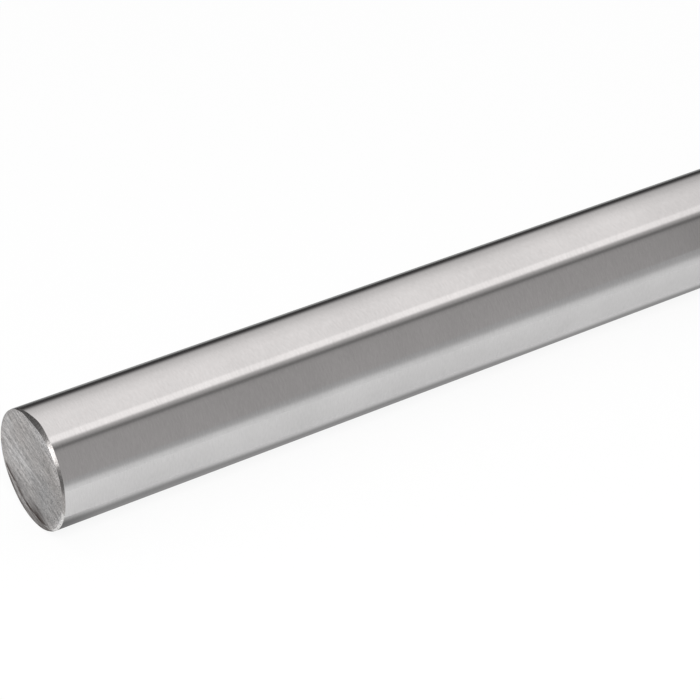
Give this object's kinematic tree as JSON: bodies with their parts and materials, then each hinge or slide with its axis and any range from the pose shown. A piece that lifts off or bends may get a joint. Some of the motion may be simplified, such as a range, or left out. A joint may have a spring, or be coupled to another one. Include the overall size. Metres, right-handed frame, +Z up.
{
  "type": "linear shaft",
  "caption": "Round ground steel shaft for linear bearings, cut to length, with a narrow chamfer round each end.",
  "frame": {"origin": "on the shaft's axis, halfway along its length", "axes": "+X along the shaft's axis from the end that the picture shows to the other end, +Z up as the shaft lies on a level floor"},
  "size_m": [0.3, 0.02, 0.02],
  "materials": {
    "ground_steel": "hardened bearing steel, centreless ground and polished barrel, linished sawn ends"
  },
  "bodies": {
    "root": {"shaft": "ground_steel"}
  },
  "joints": []
}
